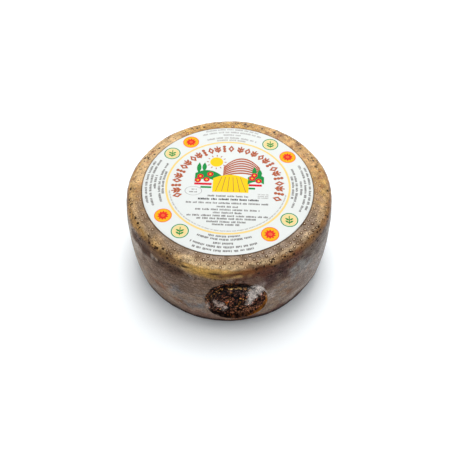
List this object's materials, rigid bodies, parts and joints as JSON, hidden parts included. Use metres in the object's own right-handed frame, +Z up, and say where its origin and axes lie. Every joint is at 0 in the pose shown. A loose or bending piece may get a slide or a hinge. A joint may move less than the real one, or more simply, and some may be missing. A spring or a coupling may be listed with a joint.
{
  "type": "pecorino toscano wheel",
  "caption": "Small aged sheep's-milk cheese wheel with rounded shoulders, nubbed upper rim, burnt-in round side mark and a round printed paper label on top.",
  "frame": {"origin": "centre of the flat underside", "axes": "+Z up through the upper face, -Y towards the front with the burnt-in round mark, +X to the right of the front"},
  "size_m": [0.1944, 0.1932, 0.0906],
  "materials": {
    "rind": "natural aged rind, tan and grey-brown, waxy on the rim",
    "paper": "smooth coated label paper"
  },
  "bodies": {
    "root": {"wheel": "rind", "label": "paper"}
  },
  "joints": []
}
